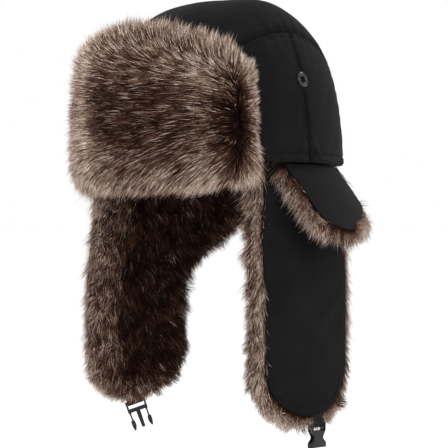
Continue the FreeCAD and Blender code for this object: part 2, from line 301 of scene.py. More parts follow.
def smooth(share):
    """Eases a share from 0 to 1, and holds it there outside."""
    share = np.clip(share, 0, 1)
    return share * share * (3 - 2 * share)

def new_object(name, points, faces, materials, slots=None):
    """A mesh object from arrays; faces all have the same number of corners."""
    points, faces = np.asarray(points, np.float32), np.asarray(faces, np.int32)
    mesh = bpy.data.meshes.new(name)
    mesh.vertices.add(len(points))
    mesh.vertices.foreach_set("co", points.ravel())
    mesh.loops.add(faces.size)
    mesh.loops.foreach_set("vertex_index", faces.ravel())
    mesh.polygons.add(len(faces))
    corners = faces.shape[1]
    mesh.polygons.foreach_set("loop_start", np.arange(0, faces.size, corners, dtype=np.int32))
    for material in materials:
        mesh.materials.append(material)
    if slots is not None:
        mesh.polygons.foreach_set("material_index", np.asarray(slots, np.int32))
    mesh.polygons.foreach_set("use_smooth", np.ones(len(faces), bool))
    mesh.update(calc_edges=True)
    mesh.validate()
    return placed(name, mesh)

def placed(name, data):
    made = bpy.data.objects.new(name, data)
    bpy.context.collection.objects.link(made)
    return made

def constant(depth):
    """The same depth all over a sheet."""
    return lambda u, v: np.full_like(u, depth)

def follow(path, run, where):
    """Points of a line at distances along it."""
    return np.stack([np.interp(where, run, path[:, k]) for k in range(3)], axis=-1)

def grid_faces(columns, rows):
    """Quads of a grid of columns by rows points, numbered column after column."""
    i, j = np.meshgrid(np.arange(columns - 1), np.arange(rows - 1), indexing="ij")
    first = (i * rows + j).ravel()
    return np.stack([first, first + rows, first + rows + 1, first + 1], axis=1)

def spread(count, edge=0.5):
    """Shares from 0 to 1 that crowd towards both ends."""
    even = np.linspace(0, 1, count)
    return (1 - edge) * even + edge * (1 - np.cos(math.pi * even)) / 2

def pillow(name, point, columns, rows, inner, outer, materials):
    """A closed form between two depths of a sheet, whose faces meet along its outline.

    point(u, v, depth) gives points; inner and outer are depths for each (u, v).
    """
    u, v = np.meshgrid(spread(columns), spread(rows), indexing="ij")
    near, far = inner(u, v), outer(u, v)
    rim = (u == 0) | (u == 1) | (v == 0) | (v == 1)
    middle = (near + far) / 2
    top = point(u, v, np.where(rim, middle, far)).reshape(-1, 3)
    bottom = point(u, v, near).reshape(-1, 3)
    numbers = np.arange(columns * rows)
    inside = ~rim.ravel()
    under = numbers.copy()
    under[inside] = columns * rows + np.arange(inside.sum())
    faces = grid_faces(columns, rows)
    points = np.vstack([top, bottom[inside]])
    every = np.vstack([faces, under[faces][:, ::-1]])
    return mended(new_object(name, points, every, materials))

def mended(made, weld=0.0, fill=False):
    """Joins corners closer than weld, fills holes if asked and turns the faces outwards."""
    editor = bmesh.new()
    editor.from_mesh(made.data)
    if weld:
        bmesh.ops.remove_doubles(editor, verts=editor.verts, dist=weld)
    if fill:
        bmesh.ops.holes_fill(editor, edges=editor.edges)
    bmesh.ops.recalc_face_normals(editor, faces=editor.faces)
    editor.to_mesh(made.data)
    editor.free()
    return made

def round_edge(distance, radius):
    """How full a soft edge is at a distance in from its outline, from 0 to 1."""
    share = np.clip(distance / radius, 0, 1)
    return np.sqrt(1 - (1 - share) ** 2)

def ripple(points, size, seed=0):
    """Smooth noise from -1 to 1: a sum of waves in seeded directions."""
    draw = np.random.default_rng(1000 + seed)
    total = np.zeros(len(points))
    for octave in range(3):
        for _ in range(4):
            direction = draw.normal(size=3)
            direction /= np.linalg.norm(direction)
            phase = draw.uniform(0, 2 * math.pi)
            pitch = size / 2**octave * draw.uniform(0.7, 1.3)
            total += np.sin(2 * math.pi * (points @ direction) / pitch + phase) / 2**octave
    return total / 5

def vertex_arrays(made):
    mesh = made.data
    points = np.empty(len(mesh.vertices) * 3)
    normals = np.empty(len(mesh.vertices) * 3)
    mesh.vertices.foreach_get("co", points)
    mesh.vertices.foreach_get("normal", normals)
    return points.reshape(-1, 3), normals.reshape(-1, 3)

def push(made, amount):
    """Moves each vertex along its normal by amount(points), in metres."""
    points, normals = vertex_arrays(made)
    points += normals * amount(points)[:, None]
    made.data.vertices.foreach_set("co", points.ravel())
    made.data.update()

def attach(piece, place):
    """Makes a piece move with one body; given two bodies, it only bakes the piece's place into its
    mesh.
    """
    if isinstance(place, str):
        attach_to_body(piece, place)
    else:
        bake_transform(piece)

def soft_piece(piece, place, stands_for):
    """Attaches a padded piece by its place and hides the part it stands for."""
    attach(piece, place)
    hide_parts(stands_for)

# --- cloth simulation

def settle(grid, pins, fullness, pressure):
    """How far each point of a sewn sheet moves when it is settled as cloth.

    grid is columns by rows points; pins holds some of them; fullness is the cloth's slack.
    """
    columns, rows = grid.shape[:2]
    made = new_object("settling", grid.reshape(-1, 3), grid_faces(columns, rows), [])
    group = made.vertex_groups.new(name="sewn")
    group.add([int(i) for i in np.flatnonzero(pins.ravel())], 1.0, "REPLACE")
    cloth = made.modifiers.new("cloth", "CLOTH")
    settings = cloth.settings
    settings.quality = 6
    settings.mass = 0.3
    settings.tension_stiffness = settings.compression_stiffness = 12
    settings.shear_stiffness = 4
    settings.bending_stiffness = 0.6
    settings.tension_damping = settings.compression_damping = 15
    settings.air_damping = 6
    settings.vertex_group_mass = "sewn"
    settings.shrink_min = -fullness
    settings.use_pressure = True
    settings.uniform_pressure_force = pressure
    settings.effector_weights.gravity = 0.25
    scene = bpy.context.scene
    for moment in range(1, SETTLING_FRAMES + 1):
        scene.frame_set(moment)
    shape = made.evaluated_get(bpy.context.evaluated_depsgraph_get())
    after = np.empty(columns * rows * 3)
    shape.data.vertices.foreach_get("co", after)
    bpy.data.objects.remove(made)
    scene.frame_set(1)
    moved = after.reshape(grid.shape) - grid
    size = np.linalg.norm(moved, axis=2, keepdims=True)
    return moved * np.minimum(1, 3.5 * MM / np.maximum(size, 1e-9))

def enlarge(coarse, u, v):
    """Reads a coarse grid of values at the shares u and v, each from 0 to 1."""
    columns, rows = coarse.shape[:2]
    x, y = u * (columns - 1), v * (rows - 1)
    i = np.clip(x.astype(int), 0, columns - 2)
    j = np.clip(y.astype(int), 0, rows - 2)
    a, b = smooth(x - i)[..., None], smooth(y - j)[..., None]
    near = coarse[i, j] * (1 - a) + coarse[i + 1, j] * a
    far = coarse[i, j + 1] * (1 - a) + coarse[i + 1, j + 1] * a
    return near * (1 - b) + far * b

def draped(point, columns, rows, fullness, pressure, hold):
    """The sheet point(u, v, depth) with a cloth simulation's drape added to its face."""
    u, v = np.meshgrid(np.linspace(0, 1, columns), np.linspace(0, 1, rows), indexing="ij")
    grid = point(u, v, np.zeros_like(u))
    out = grid - point(u, v, np.full_like(u, MM))
    out /= np.linalg.norm(out, axis=2, keepdims=True)
    normal = np.cross(np.gradient(grid, axis=0), np.gradient(grid, axis=1))
    sign = np.sign((normal * out).sum())
    moved = settle(grid, hold(u, v), fullness, sign * pressure)
    rise = (moved * out).sum(axis=2, keepdims=True)
    swell = out * np.clip(rise, 0, 2.2 * MM)

    def soft(u, v, depth):
        return point(u, v, depth) + enlarge(swell, u, v)

    return soft

# --- stitching

def stitches(name, path, facing, pitch=3.1 * MM):
    """A row of raised thread stitches on the crown, along points with their normals."""
    step = np.linalg.norm(np.diff(path, axis=0), axis=1)
    run = np.concatenate([[0], np.cumsum(step)])
    count = max(2, int(run[-1] / pitch))
    centres = (np.arange(count) + 0.5) * run[-1] / count
    half = 0.36 * run[-1] / count

    out = unit(follow(facing, run, centres))
    ends = follow(path, run, centres - half), follow(path, run, centres + half)
    along = unit(ends[1] - ends[0])
    side = unit(np.cross(along, out))
    rings = []
    for place, width in ((-1.0, 0.0), (-0.8, 0.7), (0.0, 1.0), (0.8, 0.7), (1.0, 0.0)):
        centre = (ends[0] + ends[1]) / 2 + along * (half * place)
        for k in range(6):
            spin = 2 * math.pi * k / 6
            spoke = side * math.cos(spin) * 0.30 * MM + out * math.sin(spin) * 0.26 * MM
            rings.append(centre + spoke * max(width, 0.05))
    points = np.stack(rings, axis=1).reshape(-1, 3)
    corner = []
    for ring in range(4):
        for k in range(6):
            a, b = 6 * ring + k, 6 * ring + (k + 1) % 6
            corner.append((a, b, b + 6, a + 6))
    faces = (np.arange(count) * 30)[:, None, None] + np.array(corner)[None]
    made = mended(new_object(name, points, faces.reshape(-1, 4), [STITCHING]), 0.04 * MM, True)
    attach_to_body(made, "crown")

# --- crown

def side_share(level):
    return (1 - level**SIDE_LEAN) ** SIDE_FULLNESS

def end_share(level):
    return (1 - level**END_LEAN) ** END_FULLNESS

def crown_point(turn, level, inset):
    """turn runs round the hem from the front towards the wearer's left, in radians."""
    level = np.clip(level, 0, 1)
    wide = (HALF_WIDTH - inset) * side_share(level)
    long = (HALF_LENGTH - inset) * end_share(level)
    height = (CROWN_HEIGHT - inset) * level
    return np.stack([wide * np.sin(turn), -long * np.cos(turn), height], axis=-1)

def seam_gap(points):
    """How far points lie outside the top panel's nearer long seam, seen from above."""
    x, y = np.abs(points[..., 0]), points[..., 1]
    return np.hypot(x + SEAM_RADIUS - SEAM_REACH, y) - SEAM_RADIUS

def seam_level(turn):
    """The level at which the line of this turn crosses the top panel's seam, or 0."""
    low, high = np.zeros_like(turn), np.ones_like(turn)
    outside = seam_gap(crown_point(turn, low, 0)) > 0
    for _ in range(40):
        middle = (low + high) / 2
        beyond = seam_gap(crown_point(turn, middle, 0)) > 0
        low, high = np.where(beyond, middle, low), np.where(beyond, high, middle)
    return np.where(outside, low, 0.0)

def hem_turn():
    """The turn at which the top panel's seam meets the hem at the front."""
    turns = np.linspace(0, math.pi / 2, 4000)
    outside = seam_gap(crown_point(turns, np.zeros_like(turns), 0)) > 0
    return turns[np.argmax(outside)]

def crown_relief(points):
    """Soft fullness between seams, puckers beside them and the hem's stitched fold."""
    shape = points.shape[:-1]
    points = points.reshape(-1, 3)
    _, y, z = points.T
    long_seam = np.abs(seam_gap(points))
    side_seam = np.where(seam_gap(points) > 0, np.abs(y), 1.0)
    seam = np.minimum(long_seam, side_seam)
    full = 0.7 * MM * (1 - np.exp(-seam / (7 * MM))) - 0.3 * MM
    groove = -1.6 * MM * np.exp(-((seam / (1.3 * MM)) ** 2))
    along = np.where(long_seam < side_seam, np.arctan2(y, z), z * 9)
    pucker = 0.4 * MM * np.sin(along * 46 + 3 * np.sin(along * 7)) * np.exp(-seam / (6 * MM))
    hem = -0.8 * MM * np.exp(-(((z - HEM_STITCH) / (0.8 * MM)) ** 2))
    topstitch = -0.3 * MM * np.exp(-(((seam - 3.2 * MM) / (0.7 * MM)) ** 2))
    wide = 0.5 * MM * ripple(points, 70 * MM, 1) + 0.25 * MM * ripple(points, 26 * MM, 2)
    eyelet = np.hypot(y, z - EYELET_HEIGHT)
    clear = smooth((eyelet - 6 * MM) / (8 * MM))
    relief = full + groove + pucker + hem + topstitch + wide * smooth(z / (12 * MM))
    return (relief * clear - 0.25 * MM * (1 - clear)).reshape(shape)

def raised(turn, level, inset):
    """A point of the crown's cloth with its relief."""
    return crown_point(turn, level, inset - crown_relief(crown_point(turn, level, 0)))

def crown_panel(name, turns, high_level):
    """One side panel between the hem and the top panel's seam, sewn all round."""

    def flat(u, v, depth):
        turn = turns[0] + (turns[1] - turns[0]) * u
        return crown_point(turn, high_level(turn) * v, depth)

    def hold(u, v):
        edge = np.minimum(np.minimum(u, 1 - u), np.minimum(v, 1 - v)) < 0.02
        place = flat(u, v, np.zeros_like(u))
        return edge | (np.hypot(place[..., 1], place[..., 2] - EYELET_HEIGHT) < 12 * MM)

    soft = draped(flat, 36, 40, 0.02, 1.5, hold)

    def point(u, v, depth):
        turn = turns[0] + (turns[1] - turns[0]) * u
        return raised(turn, high_level(turn) * v, depth) + soft(u, v, depth) - flat(u, v, depth)

    depths = constant(CLOTH), constant(-0.1 * MM)
    made = pillow(name, point, 150, 150, *depths, [SHELL])
    soft_piece(made, "crown", name)

def closed_cap(name, skins, columns, rows, material):
    """Joins an outer and an inner dome, each columns round by rows up, at their rims."""
    i, j = np.meshgrid(np.arange(columns), np.arange(rows - 1), indexing="ij")
    first = (i * rows + j).ravel()
    second = ((i + 1) % columns * rows + j).ravel()
    skin = np.stack([first, second, second + 1, first + 1], axis=1)
    count = columns * rows
    lip = np.arange(columns) * rows
    following = (np.arange(columns) + 1) % columns * rows
    band = np.stack([lip, lip + count, following + count, following], axis=1)
    faces = np.vstack([skin, (skin + count)[:, ::-1], band])
    return mended(new_object(name, np.vstack(skins), faces, [material]), 1e-5)

def top_panel():
    """The strip from front hem to back hem, as lines that meet at the crown's top."""
    columns, rows = 500, 98
    turns = np.linspace(-math.pi, math.pi, columns, endpoint=False)
    base = seam_level(np.abs(turns))
    share = 1 - (1 - np.linspace(0, 1, rows)) ** 3.2
    levels = base[:, None] + (PEAK - base[:, None]) * share[None, :]
    turn = np.repeat(turns[:, None], rows, axis=1)
    skins = [raised(turn, levels, inset).reshape(-1, 3) for inset in (-0.1 * MM, CLOTH)]
    made = closed_cap("crown_top", skins, columns, rows, SHELL)
    soft_piece(made, "crown", "crown_top_panel")

def crown_stitching():
    corner = hem_turn()
    lift = 0.35 * MM
    turns = np.linspace(-math.pi, math.pi, 900)
    hem = raised(turns, np.full_like(turns, HEM_STITCH / CROWN_HEIGHT), -lift)
    stitches("hem_stitches", hem, hem * (1, 1, 0))
    for side, sign in SIDES.items():
        along = np.linspace(corner + 0.02, math.pi - corner - 0.02, 500)
        for row, offset in (("low", -0.024), ("high", 0.026)):
            level = np.clip(seam_level(along) + offset, 0, 0.99)
            line = raised(sign * along, level, -lift)
            stitches(f"{side}_{row}_seam_stitches", line, line)
        for row, offset in (("front", -0.034), ("rear", 0.034)):
            turn = np.full(300, sign * (math.pi / 2 + offset))
            top = seam_level(np.full(1, math.pi / 2))[0] - 0.03
            level = np.linspace(0.07, top, 300)
            line = raised(turn, level, -lift)
            away = np.hypot(line[:, 1], line[:, 2] - EYELET_HEIGHT) > 7.5 * MM
            for part, chosen in (("low", level < 0.45), ("high", level > 0.45)):
                kept = line[away & chosen]
                stitches(f"{side}_{row}_{part}_side_stitches", kept, kept * (1, 1, 0.3))

def make_crown():
    corner = hem_turn()
    quarter = math.pi / 2
    for side, sign in SIDES.items():
        for name, turns in (
            ("front", (sign * corner, sign * quarter)),
            ("rear", (sign * quarter, sign * (math.pi - corner))),
        ):
            crown_panel(f"{side}_{name}_side_panel", turns, lambda t: seam_level(np.abs(t)))
    top_panel()
    crown_stitching()

def quilting(points):
    """Diamond quilting: how far the cloth swells between crossed lines of stitches."""
    x, y, z = points.T
    pitch = 46 * MM
    reach = np.arctan2(x, np.maximum(z, 1e-4)) * 90 * MM
    first = np.abs(np.sin(math.pi * (reach + y) / pitch))
    second = np.abs(np.sin(math.pi * (reach - y) / pitch))
    return 2.4 * MM * np.sqrt(first * second)

def dome(name, inset, thick, material, relief=None):
    """A cap of the crown's shape between two insets; relief swells its inner face."""
    columns, rows = 300, 110
    turns = np.linspace(-math.pi, math.pi, columns, endpoint=False)
    share = 1 - (1 - np.linspace(0, 1, rows)) ** 3.0
    turn, level = np.meshgrid(turns, share * PEAK, indexing="ij")
    skins = [crown_point(turn, level, inset), crown_point(turn, level, inset + thick)]
    if relief:
        swell = relief(skins[1].reshape(-1, 3)).reshape(turn.shape)
        skins[1] = crown_point(turn, level, inset + thick + swell)
    return closed_cap(name, [skin.reshape(-1, 3) for skin in skins], columns, rows, material)

def make_crown_inside():
    wadding = dome("crown_wadding_fill", CLOTH + 3.0 * MM, CROWN_WADDING - 3.2 * MM, PADDING)
    wadding.data.transform(Matrix.Translation((0, 0, 1.5 * MM)))
    soft_piece(wadding, "crown", "crown_wadding")
    lining = dome("quilted_lining", CLOTH + CROWN_WADDING, 0.6 * MM, LINING_CLOTH, quilting)
    soft_piece(lining, "crown", "crown_lining")
    hem_binding()

def hem_binding():
    """The turned-in hem that closes the crown's padded edge from below."""
    columns, ring = 240, 16
    turns = np.linspace(0, 2 * math.pi, columns, endpoint=False)
    round_it = np.linspace(0, 2 * math.pi, ring, endpoint=False)
    turn, spin = np.meshgrid(turns, round_it, indexing="ij")
    half = (CLOTH + CROWN_WADDING + LINING) / 2
    inset = half - (half - 0.4 * MM) * np.cos(spin)
    points = crown_point(turn, np.zeros_like(turn), inset)
    points[..., 2] = 1.7 * MM + 1.6 * MM * np.sin(spin)
    i, j = np.meshgrid(np.arange(columns), np.arange(ring), indexing="ij")
    following, above = (i + 1) % columns, (j + 1) % ring
    here, there = i * ring, following * ring
    faces = np.stack([here + j, there + j, there + above, here + above])
    made = mended(new_object("hem_binding", points.reshape(-1, 3), faces.reshape(4, -1).T, [SHELL]))
    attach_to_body(made, "crown")

# --- flap surfaces

def front_flap_sheet(over):
    """u from the wearer's right to left, v up, depth outwards."""

    def point(u, v, depth):
        along = 2 * u - 1
        turn = np.radians(along * (FRONT_TURN + math.degrees(over / HALF_LENGTH) * 0.4))
        low = FRONT_BOTTOM - over + (FRONT_FOOT_RISE + 0.4 * over) * along**6
        high = FRONT_TOP + over - (FRONT_CORNER + 0.4 * over) * along**2
        height = low + (high - low) * v
        lean = FRONT_LEAN * (np.maximum(height, 0) / FRONT_TOP) ** 3
        wide = HALF_WIDTH + MM + depth - lean
        long = HALF_LENGTH + MM + depth - lean
        return np.stack([wide * np.sin(turn), -long * np.cos(turn), height], axis=-1)

    def rim(u, v):
        along = np.minimum(u, 1 - u) * 2 * math.radians(FRONT_TURN) * 108 * MM
        up = np.minimum(v, 1 - v) * (FRONT_TOP - FRONT_BOTTOM + 2 * over)
        return np.minimum(along, up)

    return point, rim

def ear_flap_sheet(side, outward_front=0.0, rear_web=0.0):
    """u from front to rear, v down, depth towards the head.

    outward_front hangs the front edge straight down instead of starting from the oval hem.
    rear_web carries the upper rear edge on towards the nape.
    """
    sign, full = SIDES[side], EAR_DROP[side]
    straight, last = full - EAR_END, math.radians(86)
    curve_from = 0.6

    def outline(v):
        turn = last * np.clip((v - curve_from) / (1 - curve_from), 0, 1)
        drop = straight * np.minimum(v / curve_from, 1) + EAR_END * np.sin(turn) / math.sin(last)
        return drop, EAR_HALF * np.cos(turn)

    def point(u, v, depth):
        drop, reach = outline(v)
        along = (2 * u - 1) * reach
        settled = smooth(drop / EAR_SETTLE)
        settled = settled + (1 - settled) * outward_front * np.clip(1 - u, 0, 1) ** 1.5
        y = along + EAR_MIDDLES[0] + (EAR_MIDDLES[1] - EAR_MIDDLES[0]) * settled
        web = smooth((WEB_END - drop) / WEB_FADE) * np.clip(2 * u - 1, 0, 1) ** 1.5
        y = y + rear_web * web
        wide, long = HALF_WIDTH - EAR_INSET, HALF_LENGTH - EAR_INSET
        sewn = wide * np.sqrt(np.maximum(1 - (y / long) ** 2, 0.05))
        hanging = EAR_HANG - along**2 / (2 * EAR_BOW)
        x = sewn + (hanging - sewn) * settled - depth
        return np.stack([sign * x, y, -GAP - drop], axis=-1)

    def rim(u, v):
        drop, reach = outline(v)
        return np.minimum(np.minimum(u, 1 - u) * 2 * reach, np.minimum(full - drop, drop))

    return point, rim

def tab_edges(v):
    """The rear tab's front and rear edges in degrees, a share v of the way down."""
    sweep = v * (2 - v)
    front = TAB_FRONT + TAB_FRONT_SWEEP * sweep + TAB_FRONT_CORNER * v**10
    rear = TAB_REAR + TAB_REAR_SWEEP * sweep - TAB_REAR_CORNER * smooth((v - 0.55) / 0.45)
    return front, rear

def neck_edges(v):
    """The neck flap's edges in degrees, a share v of the way down."""
    half = NECK_HALF - NECK_TAPER * v - NECK_CORNER * v**8
    return 180 - half, 180 + half

def skirt_sheet(sign, edges, drop, over):
    """A flap that flares from the hem: u round the hem, v down, depth towards the head."""
    reach = math.degrees(over / HALF_LENGTH)
    full = drop + 0.8 * over

    def point(u, v, depth):
        first, last = edges(v)
        first, last = first - reach, last + reach
        turn = np.radians(first + (last - first) * u)
        below = full * v
        out = SKIRT_FLARE * below - SKIRT_INSET - depth
        wide, long = HALF_WIDTH + out, HALF_LENGTH + out
        return np.stack([sign * wide * np.sin(turn), -long * np.cos(turn), -GAP - below], axis=-1)

    def rim(u, v):
        first, last = edges(v)
        across = np.minimum(u, 1 - u) * np.radians(last - first + 2 * reach) * 110 * MM
        return np.minimum(across, np.minimum(v, 1 - v) * full * 1.12)

    return point, rim

# --- fur

def unit(vectors):
    return vectors / np.maximum(np.linalg.norm(vectors, axis=1), 1e-9)[:, None]

def sample_surface(made, columns, rows, density):
    """Points spread evenly over a pillow's outer faces, with their normals and (u, v)."""
    points, normals = vertex_arrays(made)
    u, v = np.meshgrid(spread(columns), spread(rows), indexing="ij")
    plane = np.stack([u.ravel(), v.ravel()], axis=1)
    faces = grid_faces(columns, rows)
    triangles = np.vstack([faces[:, :3], faces[:, [0, 2, 3]]])
    a, b, c = (points[triangles[:, k]] for k in range(3))
    area = np.linalg.norm(np.cross(b - a, c - a), axis=1) / 2
    count = int(area.sum() * density)
    picked = DRAW.choice(len(triangles), size=count, p=area / area.sum())
    r, s = np.sqrt(DRAW.random(count)), DRAW.random(count)
    weights = np.stack([1 - r, r * (1 - s), r * s], axis=1)
    chosen = triangles[picked]

    def mixed(values):
        return np.einsum("ijk,ij->ik", values[chosen], weights)

    return mixed(points), unit(mixed(normals)), mixed(plane)

def sample_rim(point, density, depths, sides=("first", "last", "end")):
    """Roots along a sheet's edges: places, outward directions in the sheet and (u, v)."""
    share = DRAW.random(20000)
    found = []
    for side in sides:
        fixed = 1.0 if side in ("last", "end") else 0.0
        inside = abs(fixed - 0.04)
        steps = np.linspace(0, 1, 200)

        def along(t, across, side=side):
            return (across, t) if side in ("first", "last") else (t, across)

        line = point(*along(steps, np.full(200, fixed)), np.zeros(200))
        run = np.concatenate([[0], np.cumsum(np.linalg.norm(np.diff(line, axis=0), axis=1))])
        count = int(run[-1] * 1000 * density)
        t = np.interp(share[:count] * run[-1], run, steps)
        deep = depths[0] + (depths[1] - depths[0]) * DRAW.random(count) ** 1.6
        u, v = along(t, np.full(count, fixed))
        inner_u, inner_v = along(t, np.full(count, inside))
        place = point(u, v, deep)
        out = unit(place - point(inner_u, inner_v, deep))
        place = place - out * DRAW.uniform(0, 2.5 * MM, count)[:, None]
        found.append((place, out, np.stack([u, v], axis=1)))
    return [np.vstack(parts) for parts in zip(*found)]

def clumps(roots, size):
    """The index of each root's nearest tuft leader."""
    extent = np.sort(roots.max(0) - roots.min(0))
    share = min(1.0, extent[1] * extent[2] * 1.3 / size**2 / len(roots))
    leaders = np.flatnonzero(DRAW.random(len(roots)) < share)
    tree = kdtree.KDTree(len(leaders))
    for i, leader in enumerate(leaders):
        tree.insert(roots[leader], i)
    tree.balance()
    return leaders[np.array([tree.find(root)[1] for root in roots])]

def hair_pattern():
    """A hair's triangles and which part of it each is on: root, middle or tip."""
    corner, group = [(2, 1, 0)], [0]
    rings = len(STRAND_RINGS)
    for step in range(rings - 1):
        for k in range(3):
            a, b = 3 * step + k, 3 * step + (k + 1) % 3
            corner += [(a, b, b + 3), (a, b + 3, a + 3)]
            group += [step, step]
    last = 3 * (rings - 1)
    for k in range(3):
        corner.append((last + k, last + (k + 1) % 3, 3 * rings))
        group.append(2)
    return np.array(corner), group

def strands(name, roots, normals, flow, length, lift, girth, tone, place,
            contrast, gather=0.35, tuft=3.5 * MM, loose=0.1):
    """Tapered hairs that leave their roots along the flow and bend over to lie with it.

    tone, from 0, dark, to 1, cream, picks each hair's colours; place is its body or blend.
    """
    count = len(roots)
    girth = girth * uniform(0.6, 1.3, count)
    flat = unit(flow - normals * (flow * normals).sum(1)[:, None])
    stray = DRAW.normal(size=(count, 3)) * loose
    start = unit(normals * lift[:, None] + flat + stray)
    finish = unit(normals * (0.25 * lift)[:, None] + flat * 1.1 + DOWN * STRAND_DROOP + stray * 1.6)
    leader = clumps(roots, tuft)

    def path(t, which=slice(None)):
        bent = start[which] * t + (finish[which] - start[which]) * (t * t / 2)
        return roots[which] + bent * length[which][:, None]

    centre = []
    for t in (*STRAND_RINGS, 1.0):
        own, led = path(t), path(t, leader)
        centre.append(own + (led - own) * (gather * t**1.5))
    sideways = unit(np.cross(start, normals + DRAW.normal(size=(count, 3)) * 0.3))
    across = unit(np.cross(start, sideways))
    rings = []
    for middle, share in zip(centre, STRAND_GIRTH):
        for k in range(3):
            spin = 2 * math.pi * k / 3
            spoke = sideways * math.cos(spin) + across * math.sin(spin)
            rings.append(middle + spoke * (girth * share / 2)[:, None])
    points = np.stack([*rings, centre[-1]], axis=1)
    pattern, group = hair_pattern()
    shades = len(TIP_COLOURS)
    cell = np.floor(roots / STREAK_CELL).astype(int) @ (73, 179, 283) % STREAKS
    streak = 0.75 * DRAW.normal(size=STREAKS)[cell] + 0.65 * DRAW.normal(size=count)

    def shade(shift):
        return np.clip(np.round((tone + shift) * (shades - 1)), 0, shades - 1).astype(int)

    middle = shade(streak * contrast * 0.6 - 0.05)
    tip = shade(streak * contrast + DRAW.normal(size=count) * 0.06)
    root = np.maximum(middle - 1, 0)
    slots = np.stack([root, 1 + middle, 1 + shades + tip], axis=1)[:, group]
    limit = PIECE_TRIANGLES // len(pattern)
    for part, begin in enumerate(range(0, count, limit)):
        end = min(begin + limit, count)
        faces = (np.arange(end - begin) * points.shape[1])[:, None, None] + pattern[None]
        piece = new_object(
            f"{name}_{part + 1}", points[begin:end].reshape(-1, 3), faces.reshape(-1, 3),
            HAIR, slots[begin:end].ravel(),
        )
        attach(piece, place)

def fur_bed(prefix, point, bed, back, columns, rows, place, density):
    """The dense underfur, a closed pad from the depth back to bed(u, v), and its hairs' roots."""
    name = f"{prefix}_fur_bed"
    made = pillow(name, point, columns, rows, constant(back), bed, [UNDERFUR])
    push(made, lambda p: 0.8 * MM * ripple(p, 16 * MM, 5))
    soft_piece(made, place, f"{prefix}_fur")
    return sample_surface(made, columns, rows, density)

def sewn_flap(prefix, sheet, cloth_place, wadding_place, padding, swell):
    """A flap's black cloth face, which swells inside its edge, and its wadding."""
    flat, rim = sheet
    point = draped(flat, 30, 34, 0.01, 0.8, lambda u, v: rim(u, v) < 4 * MM)

    def face(u, v):
        return -swell * round_edge(rim(u, v), 7 * MM)

    shell = pillow(f"{prefix}_cloth", point, 110, 130, constant(CLOTH), face, [SHELL])
    push(shell, lambda p: 0.2 * MM * ripple(p, 60 * MM, 3) + 0.08 * MM * ripple(p, 20 * MM, 4))

    def pad(u, v):
        return CLOTH + 0.3 * MM + padding * round_edge(rim(u, v) - 3 * MM, 6 * MM)

    def inset(u, v, depth):
        return flat(0.04 + 0.92 * u, 0.15 + 0.81 * v, depth)

    back = constant(CLOTH + 0.2 * MM)
    wadding = pillow(f"{prefix}_fill", inset, 50, 60, back, pad, [PADDING])
    soft_piece(shell, cloth_place, f"{prefix}_shell")
    soft_piece(wadding, wadding_place, f"{prefix}_wadding")

def patches(points, size, seed):
    """Smooth lighter and darker patches, from 0 to 1."""
    return 0.5 + 0.5 * ripple(points, size, seed)

def radial_flow(sheet_point, u, v, tilt):
    """Directions in a sheet that fan out from its middle line towards its sides."""
    step = 0.01
    zero = np.zeros_like(u)
    low, high = np.clip(u - step, 0, 1), np.clip(u + step, 0, 1)
    across = unit(sheet_point(high, v, zero) - sheet_point(low, v, zero))
    spread_out = np.sign(u - 0.5) * smooth(np.abs(2 * u - 1) / 0.9)
    return across * (spread_out * tilt)[:, None] + DOWN

